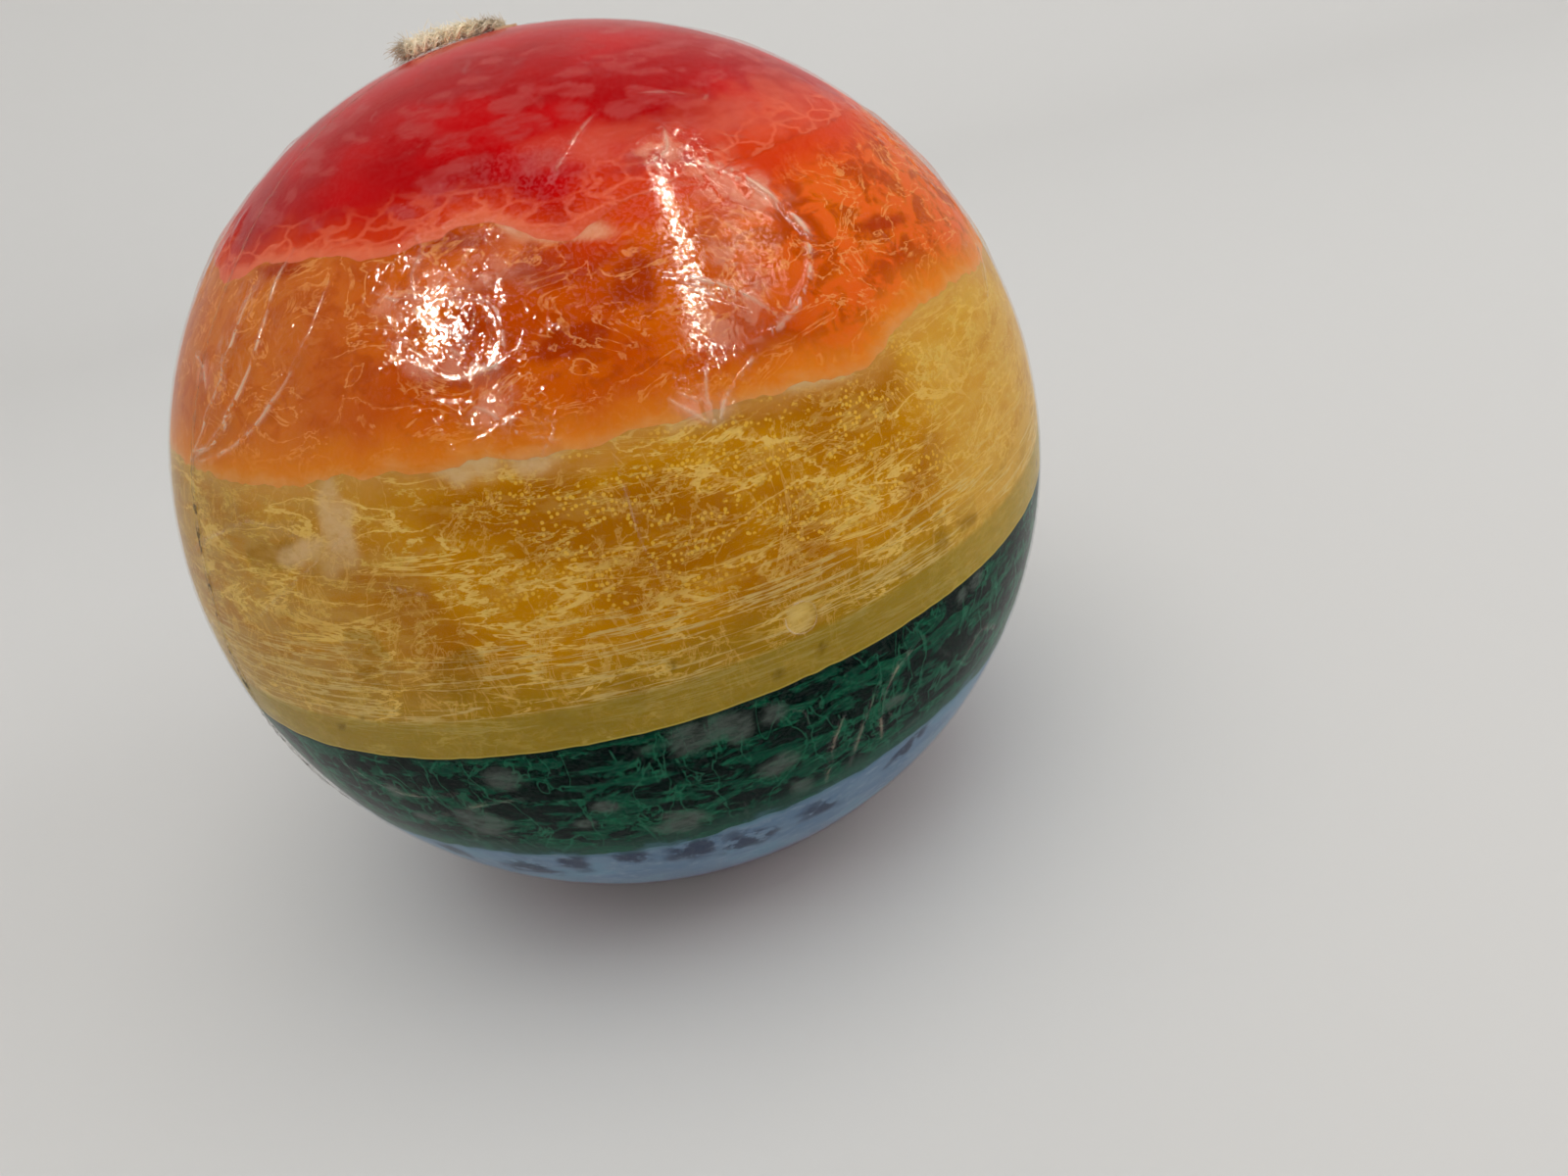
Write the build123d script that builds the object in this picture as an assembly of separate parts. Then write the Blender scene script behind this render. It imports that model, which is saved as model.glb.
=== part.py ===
"""Rainbow ball candle: six poured wax layers on a braided wick, in a side-welded shrink sleeve.

Frame, in millimetres: origin at the centre of the flat foot, +Z up along the wick, -Y the front.
The wick's free end lies over to -X, bent down on the ball at its root.
"""

import os
from math import asin, cos, degrees, radians, sin, sqrt

from build123d import *

# Wax ball
ball_radius = 60.0
foot_radius = 24.0

# Pour depths, measured up the axis. The yellow pour takes the height that the others leave.
violet_depth = 12.0
blue_depth = 17.4
green_depth = 20.2
orange_depth = 18.6
red_depth = 16.6

# Wick
wick_radius = 1.55
wick_stub_length = 13.4
stub_clearance = 0.2

# Wick sustainer, a pressed steel disc with a crimped neck
disc_radius = 10.0
disc_thickness = 0.35
disc_recess = 0.5
disc_rib_radius = 7.0
disc_rib_width = 1.2
disc_rib_height = 0.3
neck_wall = 0.35
neck_height = 6.5
crimp_height = 2.2
crimp_depth = 0.18

# Shrink film sleeve
film_gap = 0.1
film_thickness = 0.15
wick_eye_clearance = 1.6
hem_clearance = 0.8
weld_azimuth = -59.0
weld_width = 0.8
weld_stand = 0.3
vent_radius = 1.65
vent_azimuth = 12.5
vent_latitude = 2.2

# Derived places
centre_z = sqrt(ball_radius**2 - foot_radius**2)
ball_top = centre_z + ball_radius
film_inner = ball_radius + film_gap
film_outer = film_inner + film_thickness
top_eye_radius = wick_radius + wick_eye_clearance
neck_radius = wick_radius + neck_wall
neck_top = disc_recess + disc_thickness + neck_height
hinge_radius = film_outer + stub_clearance + wick_radius
hinge_z = centre_z + hinge_radius
core_top = hinge_z - wick_radius - stub_clearance
yellow_depth = ball_top - violet_depth - blue_depth - green_depth - orange_depth - red_depth

LAYERS = [
    ("violet_wax_layer", violet_depth),
    ("blue_wax_layer", blue_depth),
    ("green_wax_layer", green_depth),
    ("yellow_wax_layer", yellow_depth),
    ("orange_wax_layer", orange_depth),
    ("red_wax_layer", red_depth),
]


def upright_cylinder(radius, low, high):
    """A cylinder on the wick's axis from one height to another."""
    return Pos(0, 0, low) * Cylinder(radius, high - low, align=(Align.CENTER, Align.CENTER, Align.MIN))


def slab(low, high):
    """Everything the ball could fill between two heights."""
    reach = 3 * ball_radius
    return Pos(0, 0, low) * Box(reach, reach, high - low, align=(Align.CENTER, Align.CENTER, Align.MIN))


def around_axis(profile):
    """A closed outline in the XZ plane, turned once round the wick's axis."""
    return revolve(make_face(profile), Axis.Z)


def sustainer_profile():
    """Outer half-section of the pressed sustainer, from the axis out along the disc and back up the neck."""
    top = disc_recess + disc_thickness
    rib_in = disc_rib_radius - disc_rib_width / 2
    rib_out = disc_rib_radius + disc_rib_width / 2
    crimp_middle = neck_top - crimp_height
    return Polyline(
        (0, 0, disc_recess),
        (disc_radius, 0, disc_recess),
        (disc_radius, 0, top),
        (rib_out, 0, top),
        (disc_rib_radius, 0, top + disc_rib_height),
        (rib_in, 0, top),
        (neck_radius + disc_thickness, 0, top),
        (neck_radius, 0, top + disc_thickness),
        (neck_radius, 0, crimp_middle - crimp_height / 2),
        (neck_radius - crimp_depth, 0, crimp_middle),
        (neck_radius, 0, crimp_middle + crimp_height / 2),
        (neck_radius, 0, neck_top),
        (0, 0, neck_top),
        close=True,
    )


def sustainer_envelope():
    """The sustainer with no hole for the wick, which is also the hollow it leaves in the wax."""
    return around_axis(sustainer_profile())


def wick_sustainer():
    return sustainer_envelope() - upright_cylinder(wick_radius, 0, neck_top)


def wick_core():
    """The wick inside the wax, from the underside of the disc to just above the ball."""
    return upright_cylinder(wick_radius, disc_recess, core_top)


def wick_stub():
    """The free end: a rod lying on the film along an arc, with a round knuckle on the hinge and a round tip."""
    sweep_angle = degrees(wick_stub_length / hinge_radius)
    section = Pos(0, 0, hinge_z) * Rot(0, 90, 0) * Circle(wick_radius)
    turning_line = Axis((0, 0, centre_z), (0, -1, 0))
    rod = revolve(section, turning_line, revolution_arc=sweep_angle)
    tip_angle = radians(sweep_angle)
    tip = (-hinge_radius * sin(tip_angle), 0, centre_z + hinge_radius * cos(tip_angle))
    return rod + Pos(0, 0, hinge_z) * Sphere(wick_radius) + Pos(*tip) * Sphere(wick_radius)


def wax_layer(low, high):
    """One pour: a slice of the ball with the wick cast through it, and the sustainer where it reaches that far."""
    slice_of_ball = Pos(0, 0, centre_z) * Sphere(ball_radius) & slab(low, high)
    layer = slice_of_ball - upright_cylinder(wick_radius, low, high)
    if low < neck_top:
        layer -= sustainer_envelope()
    if low <= 0:
        layer -= upright_cylinder(disc_radius, low, disc_recess)
    return layer


def wax_layers():
    """The six pours by name, each on top of the one before."""
    made, low = {}, 0.0
    for name, depth in LAYERS:
        made[name] = wax_layer(low, low + depth)
        low += depth
    return made


def film_band(outer):
    """A spherical skin from the inside of the film to the given radius, open at the top eye and the lower hem."""
    eye_height = centre_z + sqrt(film_inner**2 - top_eye_radius**2)
    skin = Pos(0, 0, centre_z) * (Sphere(outer) - Sphere(film_inner))
    skin &= slab(hem_clearance, centre_z + 2 * ball_radius)
    return skin - upright_cylinder(top_eye_radius, eye_height - ball_radius, centre_z + 2 * ball_radius)


def beside_weld(front):
    """The half-space on one side of the weld plane, clear of the weld itself."""
    reach = 3 * ball_radius
    side = -1 if front else 1
    block = Pos(0, side * (reach + weld_width) / 2, centre_z) * Box(2 * reach, reach, reach)
    return Rot(0, 0, 90 + weld_azimuth) * block


def vent(azimuth):
    """A round punch through the film, pointing out from the ball's centre."""
    punch = Cylinder(vent_radius, 2 * ball_radius, align=(Align.CENTER, Align.CENTER, Align.MIN))
    return Pos(0, 0, centre_z) * Rot(0, 0, azimuth) * Rot(90 - vent_latitude, 0, 0) * punch


def film_panel(front):
    """One web of the sleeve. Both webs are punched at once, so the holes lie evenly beside the left weld."""
    azimuth = vent_azimuth if front else 2 * weld_azimuth - vent_azimuth
    return film_band(film_outer) & beside_weld(front) - vent(azimuth)


def film_weld(left):
    """The fused bead where the two webs meet, down one side of the ball."""
    reach = 3 * ball_radius
    side = -1 if left else 1
    strip = Pos(side * reach / 2, 0, centre_z) * Box(reach, weld_width, reach)
    return film_band(film_outer + weld_stand) & Rot(0, 0, 90 + weld_azimuth) * strip


def main():
    os.makedirs("parts", exist_ok=True)
    parts = wax_layers()
    parts["wick_core"] = wick_core()
    parts["wick_stub"] = wick_stub()
    parts["wick_sustainer"] = wick_sustainer()
    parts["film_front_panel"] = film_panel(front=True)
    parts["film_back_panel"] = film_panel(front=False)
    parts["film_left_weld"] = film_weld(left=True)
    parts["film_right_weld"] = film_weld(left=False)
    for name, shape in parts.items():
        export_step(shape, f"parts/{name}.step")


main()
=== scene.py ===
import math

import bmesh
import bpy
import numpy as np
from mathutils import Matrix, Vector


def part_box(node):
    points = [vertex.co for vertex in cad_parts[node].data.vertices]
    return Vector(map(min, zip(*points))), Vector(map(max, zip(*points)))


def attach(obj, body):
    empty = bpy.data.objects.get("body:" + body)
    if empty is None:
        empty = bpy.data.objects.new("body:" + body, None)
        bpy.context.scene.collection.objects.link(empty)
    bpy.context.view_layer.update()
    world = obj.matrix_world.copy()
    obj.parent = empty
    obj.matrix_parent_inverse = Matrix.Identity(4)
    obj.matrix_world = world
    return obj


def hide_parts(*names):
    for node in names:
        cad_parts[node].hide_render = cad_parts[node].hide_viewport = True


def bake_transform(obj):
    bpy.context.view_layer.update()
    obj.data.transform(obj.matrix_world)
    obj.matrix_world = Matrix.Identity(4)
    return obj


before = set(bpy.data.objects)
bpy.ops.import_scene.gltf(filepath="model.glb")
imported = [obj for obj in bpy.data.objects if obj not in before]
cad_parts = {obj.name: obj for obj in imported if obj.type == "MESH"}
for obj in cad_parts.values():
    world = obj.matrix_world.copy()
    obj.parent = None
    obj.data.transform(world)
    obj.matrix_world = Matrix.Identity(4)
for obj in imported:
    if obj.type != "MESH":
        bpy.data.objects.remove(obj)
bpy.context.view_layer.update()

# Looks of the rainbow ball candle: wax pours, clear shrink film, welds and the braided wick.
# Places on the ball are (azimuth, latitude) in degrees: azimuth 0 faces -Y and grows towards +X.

MM = 0.001

# ---------------------------------------------------------------- sizes, from the frame

yellow_low, yellow_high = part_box("yellow_wax_layer")
core_low, core_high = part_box("wick_core")
ball_radius = (yellow_high.x - yellow_low.x) / 2
wick_radius = (core_high.x - core_low.x) / 2
centre_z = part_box("red_wax_layer")[1].z - math.sqrt(ball_radius**2 - wick_radius**2)
foot_radius = math.sqrt(ball_radius**2 - centre_z**2)
centre = Vector((0, 0, centre_z))
film_hem_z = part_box("film_front_panel")[0].z
disc_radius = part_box("wick_sustainer")[1].x
weld_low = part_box("film_left_weld")[0]
WELD_AZIMUTH = math.degrees(math.atan2(weld_low.x, -weld_low.y))

# Each web has one round vent, mirrored about the left weld: its place in degrees, its radius in millimetres.
VENT_AZIMUTH = 12.5
VENT_LATITUDE = 2.2
VENT_RADIUS = 1.65
VENT_DEGREES = math.degrees(VENT_RADIUS * MM / ball_radius)
BACK_VENT_AZIMUTH = 2 * WELD_AZIMUTH - VENT_AZIMUTH
VENTS = (VENT_AZIMUTH, BACK_VENT_AZIMUTH)


def latitude_of(height):
    """Latitude, in degrees, of a height above the foot on the ball's surface."""
    return math.degrees(math.asin((height - centre_z) / ball_radius))


def direction(azimuth, latitude):
    """Unit vectors for arrays of azimuth and latitude, in degrees."""
    a, b = np.radians(azimuth), np.radians(latitude)
    return np.stack([np.cos(b) * np.sin(a), -np.cos(b) * np.cos(a), np.sin(b)], -1)


def place(azimuth, latitude):
    """The point at a place on the ball."""
    return centre + Vector(direction(azimuth, latitude)) * ball_radius


def on_ball(azimuth, latitude):
    """Places on the ball, in millimetres from its centre."""
    return direction(azimuth, latitude) * ball_radius / MM


def turned_from(azimuth, middle):
    """Degrees from a meridian to an azimuth, from -180 to 180."""
    return np.remainder(azimuth - middle + 180, 360) - 180


def normalised(vectors):
    return vectors / np.linalg.norm(vectors, axis=-1)[..., None]


def spline(a, b, c, d, t):
    """A Catmull-Rom span, from b at 0 to c at 1."""
    return 0.5 * (2 * b + (c - a) * t + (2 * a - 5 * b + 4 * c - d) * t**2 + (3 * b - a - 3 * c + d) * t**3)


# ---------------------------------------------------------------- camera and stage


CAMERA_LENS = 24.96  # millimetres, on a sensor 36 mm wide
CAMERA_RIGHT = Vector((0.95707, -0.22296, -0.18522))
CAMERA_UP = Vector((0.26936, 0.44806, 0.85246))
CAMERA_PLACE = Vector((0, -2.5737, 1.0050))  # from the ball's centre, in ball radii


def make_camera():
    """The camera, close over the front of the ball and rolled so that the wick leans left."""
    data = bpy.data.cameras.new("camera")
    data.sensor_width = 36.0
    data.lens = CAMERA_LENS
    data.clip_start = 0.01
    camera = bpy.data.objects.new("camera", data)
    bpy.context.scene.collection.objects.link(camera)
    back = CAMERA_RIGHT.cross(CAMERA_UP).normalized()
    up = back.cross(CAMERA_RIGHT).normalized()
    turn = Matrix((CAMERA_RIGHT.normalized(), up, back)).transposed().to_4x4()
    camera.matrix_world = Matrix.Translation(centre + CAMERA_PLACE * ball_radius) @ turn
    bpy.context.scene.camera = camera
    return camera


def mirrored(camera, azimuth, latitude, distance):
    """The point that the camera sees mirrored in a smooth ball at a place, this far from the ball."""
    spot = place(azimuth, latitude)
    normal = Vector(direction(azimuth, latitude))
    to_camera = (camera.matrix_world.translation - spot).normalized()
    return spot + (normal * 2 * normal.dot(to_camera) - to_camera) * distance


WARM_SHINE = (1.0, 0.86, 0.70)


def area_light(name, first, last, width, radiance, shine_only=False):
    """A rectangular lamp facing the ball, from its first end to its last.
    One for shine only is warm and shows in reflections alone, and the soft light does the rest."""
    along = last - first
    middle = (first + last) / 2
    back = (middle - centre).normalized()
    x = (along - back * along.dot(back)).normalized()
    y = back.cross(x)
    data = bpy.data.lights.new(name, "AREA")
    data.shape = "RECTANGLE"
    data.size, data.size_y = along.length, width
    data.energy = radiance * math.pi * along.length * width
    lamp = bpy.data.objects.new(name, data)
    lamp.visible_diffuse = not shine_only
    if shine_only:
        data.color = WARM_SHINE
    lamp.matrix_world = Matrix.Translation(middle) @ Matrix((x, y, back)).transposed().to_4x4()
    bpy.context.scene.collection.objects.link(lamp)
    return lamp


# ---------------------------------------------------------------- noise and masks on the ball


def noise_at(points, size, seed):
    """Smooth noise from 0 to 1 at points in millimetres, with features about this size."""
    cells = 32  # the noise repeats after this many features
    table = np.random.RandomState(seed).rand(cells, cells, cells)
    q = points / size + 64.0
    cell = np.floor(q).astype(int)
    part = q - cell
    part = part * part * (3 - 2 * part)
    total = 0.0
    for corner in np.ndindex(2, 2, 2):
        near = np.abs(1 - np.array(corner) - part)
        at = (cell + corner) % cells
        total = total + near[..., 0] * near[..., 1] * near[..., 2] * table[at[..., 0], at[..., 1], at[..., 2]]
    return total


def smooth(value, low, high):
    """0 below low and 1 above high, with a soft step between. low may be the larger."""
    t = np.clip((value - low) / (high - low), 0, 1)
    return t * t * (3 - 2 * t)


def ring_distance(azimuth, latitude, spot, power=2):
    """How far places lie from an ellipse's centre, as a share of its half-axes.
    spot is (azimuth, latitude, half width, half height), in degrees on the ball, and a turn if it has one."""
    middle, height, half_width, half_height, turn = (*spot, 0)[:5]
    across = turned_from(azimuth, middle) * math.cos(math.radians(height))
    along = latitude - height
    c, s = math.cos(math.radians(turn)), math.sin(math.radians(turn))
    wide, tall = np.abs(across * c + along * s) / half_width, np.abs(along * c - across * s) / half_height
    return (wide**power + tall**power) ** (1 / power)


def patches(azimuth, latitude, spots, soft=0.25, ragged=0.25, seed=1, power=2):
    """A mask of soft ellipses with ragged outlines, squarer for a higher power."""
    points = on_ball(azimuth, latitude)
    wander = (noise_at(points, 1.6, seed) - 0.5) + (noise_at(points, 4.0, seed + 1) - 0.5)
    mask = np.zeros_like(azimuth)
    for spot in spots:
        distance = ring_distance(azimuth, latitude, spot, power) + ragged * wander
        mask = np.maximum(mask, smooth(distance, 1 + soft, 1 - soft))
    return mask


def curve_points(knots, step=4):
    """A smooth curve through knots, each (azimuth, latitude)."""
    k = np.array([knots[0], *knots, knots[-1]], float)
    t = np.linspace(0, 1, step, endpoint=False)[:, None]
    return np.vstack([*(spline(*span, t) for span in zip(k, k[1:], k[2:], k[3:])), k[-1:]])


# ---------------------------------------------------------------- meshes


def grid_quads(index, wrap_rows=False, wrap_columns=False):
    """The four corners of each cell in a grid of point numbers."""
    low, high = (index, np.roll(index, -1, 0)) if wrap_rows else (index[:-1], index[1:])
    if wrap_columns:
        corners = [low, np.roll(low, -1, 1), np.roll(high, -1, 1), high]
    else:
        corners = [low[:, :-1], low[:, 1:], high[:, 1:], high[:, :-1]]
    return np.stack(corners, -1).reshape(-1, 4)


def new_piece(name, mesh):
    piece = bpy.data.objects.new(name, mesh)
    bpy.context.scene.collection.objects.link(piece)
    return piece


def store(mesh, name, values):
    """Keeps one number for each point of a mesh, for its material to read."""
    layer = mesh.attributes.new(name, "FLOAT", "POINT")
    layer.data.foreach_set("value", np.asarray(values).reshape(-1).astype(np.float32))


def grid_mesh(name, points, wrap_rows, wrap_columns, attributes=None):
    """A piece from a grid of points (rows, columns, 3), in metres, smooth shaded.
    attributes are grids of numbers, kept on the mesh's points under their names."""
    rows, columns = points.shape[:2]
    quads = grid_quads(np.arange(rows * columns).reshape(rows, columns), wrap_rows, wrap_columns)
    mesh = bpy.data.meshes.new(name)
    mesh.vertices.add(rows * columns)
    mesh.vertices.foreach_set("co", points.reshape(-1).astype(np.float32))
    mesh.loops.add(quads.size)
    mesh.loops.foreach_set("vertex_index", quads.reshape(-1).astype(np.int32))
    mesh.polygons.add(len(quads))
    mesh.polygons.foreach_set("loop_start", np.arange(0, quads.size, 4, dtype=np.int32))
    mesh.polygons.foreach_set("use_smooth", np.ones(len(quads), bool))
    mesh.update(calc_edges=True)
    mesh.validate()
    mesh.set_sharp_from_angle(angle=math.radians(50))
    for key, grid in (attributes or {}).items():
        store(mesh, key, np.broadcast_to(grid, (rows, columns)))
    return new_piece(name, mesh)


def joined_mesh(name, points, faces):
    """A smooth shaded piece from arrays of points and the faces over all of them."""
    mesh = bpy.data.meshes.new(name)
    mesh.from_pydata(np.vstack(points).tolist(), [], faces)
    mesh.polygons.foreach_set("use_smooth", np.ones(len(faces), bool))
    return new_piece(name, mesh)


def finish(piece, node, material):
    """A piece of the candle's body that takes a node's place."""
    piece.data.materials.append(material)
    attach(piece, "candle")
    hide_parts(node)


# ---------------------------------------------------------------- where the pours meet


# The line at each pour's base: its unrest, each (size in millimetres, seed, height in degrees), then its
# rises and dips, each (azimuth, width, height) in degrees, and its tilt to the right in degrees.
EDGES = {
    "red": ([(14, 11, 0.9), (3.5, 12, 0.45), (1.2, 13, 0.18)],
            [(-12, 6, 1.3), (1, 6, -2.2), (-44, 9, 0.7), (-58, 7, -1.4), (40, 18, 1.2)], 0),
    "orange": ([(12, 21, 0.6), (3.0, 22, 0.35), (1.0, 23, 0.25)],
               [(-30, 12, 0.6), (-15, 4, 0.5), (26, 7, -1.6), (44, 9, 0.9)], 0),
    "yellow": ([(9, 31, 0.12), (1.5, 32, 0.08)], [], 1.2),
    "green": ([(10, 41, 0.5), (2.5, 42, 0.35), (0.9, 43, 0.15)],
              [(0, 12, -0.4), (32, 14, 1.8), (-42, 14, 1.2)], 0),
    "blue": ([(10, 51, 0.7), (2.5, 52, 0.3)], [], 0),
}


def edge_latitude(pour, azimuth):
    """Latitude of the line at a pour's base, by azimuth."""
    unrest, rises, tilt = EDGES[pour]
    line = latitude_of(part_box(pour + "_wax_layer")[0].z)
    points = on_ball(azimuth, np.zeros_like(azimuth))
    for size, seed, height in unrest:
        line = line + height * (noise_at(points, size, seed) * 2 - 1)
    for middle, width, height in rises:
        line = line + height * np.exp(-((turned_from(azimuth, middle) / width) ** 2))
    return line + tilt * np.sin(np.radians(azimuth))


# ---------------------------------------------------------------- node materials


def colour(text):
    """A linear colour from its #rrggbb text."""
    channels = [int(text[i : i + 2], 16) / 255 for i in (1, 3, 5)]
    return [c / 12.92 if c <= 0.04045 else ((c + 0.055) / 1.055) ** 2.4 for c in channels]


class Shader:
    """A node material, built by small steps that each return a socket."""

    def __init__(self, name):
        self.material = bpy.data.materials.new(name)
        self.material.use_nodes = True
        self.nodes = self.material.node_tree.nodes
        self.links = self.material.node_tree.links
        self.nodes.clear()
        self.output = self.add("OutputMaterial")
        self.object_place = self.add("TexCoord").outputs["Object"]

    def add(self, kind, inputs=None, **settings):
        """A new node, with its settings and what goes into its inputs."""
        node = self.nodes.new("ShaderNode" + kind)
        for key, value in settings.items():
            setattr(node, key, value)
        for key, value in (inputs or {}).items():
            self.put(node.inputs[key], value)
        return node

    def put(self, socket, value):
        """Links a socket, or sets it to a number, a vector or a #rrggbb colour."""
        if isinstance(value, bpy.types.NodeSocket):
            self.links.new(value, socket)
        elif isinstance(value, str):
            socket.default_value = (*colour(value), 1)
        else:
            socket.default_value = value

    def coordinates(self, size, stretch=(1, 1, 1), turn=(0, 0, 0), shift=0.0):
        """The surface's own place, scaled so that one unit is size millimetres times stretch."""
        return self.add("Mapping", {
            "Location": (shift, shift * 0.7, -shift),
            "Rotation": [math.radians(t) for t in turn],
            "Scale": [1 / (size * MM * s) for s in stretch],
            "Vector": self.object_place,
        }, vector_type="POINT").outputs["Vector"]

    def noise(self, size, stretch=(1, 1, 1), turn=(0, 0, 0), detail=3.0, rough=0.5, twist=0.0, shift=0.0):
        return self.add("TexNoise", {
            "Scale": 1.0,
            "Detail": detail,
            "Roughness": rough,
            "Distortion": twist,
            "Vector": self.coordinates(size, stretch, turn, shift),
        }).outputs["Fac"]

    def cells(self, size, stretch=(1, 1, 1), edge=True, warp=0.0, shift=0.0):
        """Distance to the nearest cell wall, or to the nearest cell's middle."""
        where = self.coordinates(size, stretch, (0, 0, 0), shift)
        if warp:
            stir = self.add("TexNoise", {"Scale": 1.4, "Detail": 3.0, "Vector": where}).outputs["Color"]
            where = self.add("VectorMath", {0: stir, 1: (warp, warp, warp), 2: where},
                             operation="MULTIPLY_ADD").outputs["Vector"]
        return self.add("TexVoronoi", {"Scale": 1.0, "Vector": where},
                        feature="DISTANCE_TO_EDGE" if edge else "F1").outputs["Distance"]

    def attribute(self, name):
        return self.add("Attribute", attribute_name=name).outputs["Fac"]

    def step(self, value, low, high, to_low=0.0, to_high=1.0):
        """A smooth step of a value, from to_low at low to to_high at high."""
        return self.add("MapRange", {"Value": value, "From Min": low, "From Max": high, "To Min": to_low,
                                     "To Max": to_high}, interpolation_type="SMOOTHSTEP").outputs["Result"]

    def maths(self, operation, a, b, clamp=False):
        return self.add("Math", {0: a, 1: b}, operation=operation, use_clamp=clamp).outputs[0]

    def times(self, *values):
        result = values[0]
        for value in values[1:]:
            result = self.maths("MULTIPLY", result, value)
        return result

    def spread(self, value, amount):
        """A noise from 0 to 1, centred on 0 and made this big."""
        return self.times(self.maths("SUBTRACT", value, 0.5), amount)

    def contours(self, value, count, width):
        """Many contour lines of a noise, count of them from 0 to 1, each fading out over width of the gap."""
        nearest = self.maths("PINGPONG", self.times(value, float(count)), 0.5)
        return self.step(nearest, width, width * 0.35)

    def mix(self, share, a, b):
        return self.add("Mix", {"Factor": share, 6: a, 7: b}, data_type="RGBA").outputs[2]

    def paint(self, base, coats):
        """Lays colours over a base. Each coat is one or more masks, multiplied, and then its colour."""
        for *masks, tint in coats:
            base = self.mix(self.times(*masks), base, tint)
        return base

    def bump(self, height, distance, strength=1.0, under=None):
        """A normal from a height, where 1 is distance millimetres."""
        inputs = {"Strength": strength, "Distance": distance * MM, "Height": height}
        if under is not None:
            inputs["Normal"] = under
        return self.add("Bump", inputs).outputs["Normal"]

    def surface(self, **sockets):
        """Finishes the material with one Principled surface, given sockets by name with _ for spaces."""
        named = {key.replace("_", " "): value for key, value in sockets.items()}
        self.links.new(self.add("BsdfPrincipled", named).outputs[0], self.output.inputs["Surface"])
        return self.material


def wax_surface(s, base, depth, glow, rough=0.38):
    """Translucent wax: a colour, how deep light goes in millimetres, and how far each channel spreads."""
    grain = s.noise(0.9, detail=4.0)
    slow = s.noise(7.0, detail=2.0, shift=3.0)
    height = s.maths("ADD", s.times(grain, 0.3), slow)
    return s.surface(
        Base_Color=base,
        Roughness=s.step(grain, 0.3, 0.7, rough - 0.06, rough + 0.1),
        IOR=1.44,
        Specular_IOR_Level=0.0,
        Subsurface_Weight=0.25,
        Subsurface_Radius=glow,
        Subsurface_Scale=depth * MM,
        Normal=s.bump(height, 0.12, 0.5),
    )


def red_wax():
    s = Shader("red_wax")
    above = s.attribute("above")
    tilt = (0, 20, 0)
    clouds = s.noise(9.0, (1.6, 1.6, 0.7), tilt, detail=2.0)
    flakes = s.noise(4.0, (2.3, 2.3, 0.6), tilt, detail=4.0, rough=0.55, shift=4.0)
    fine = s.noise(1.5, (2.4, 2.4, 0.6), tilt, detail=4.0, rough=0.65)
    sweep = s.noise(12.0, detail=2.0, shift=11.0)
    ragged = s.maths("ADD", above, s.spread(fine, 3.0))
    slope = s.maths("ADD", ragged, s.spread(sweep, 8.0))
    high = s.step(above, 12.0, 24.0)
    cracks = s.step(s.cells(3.0, (1.7, 1.7, 0.7), warp=0.8, shift=7.0), 0.10, 0.02)
    base = s.mix(s.step(clouds, 0.35, 0.65), "#ac0004", "#c20004")
    base = s.paint(base, [
        (s.step(slope, 7.0, 0.5), 0.95, "#d8400f"),
        (cracks, s.step(slope, 7.5, 2.0), 0.55, "#ea7450"),
        (s.step(flakes, 0.57, 0.62), s.step(fine, 0.3, 0.6, 0.5, 1.0), s.step(high, 0.0, 1.0, 0.22, 0.40),
         "#a83030"),
        (s.attribute("pale"), s.step(fine, 0.35, 0.6, 0.2, 0.72), "#bc4440"),
        (s.step(fine, 0.66, 0.76), 0.25, "#d8504c"),
        (s.step(ragged, 2.4, 0.4), s.attribute("crisp"), 0.8, "#ec7a56"),
        (s.attribute("light"), s.step(fine, 0.2, 0.6, 0.35, 0.6), "#e0674a"),
    ])
    return wax_surface(s, base, 2.4, (1.0, 0.22, 0.15))


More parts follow.
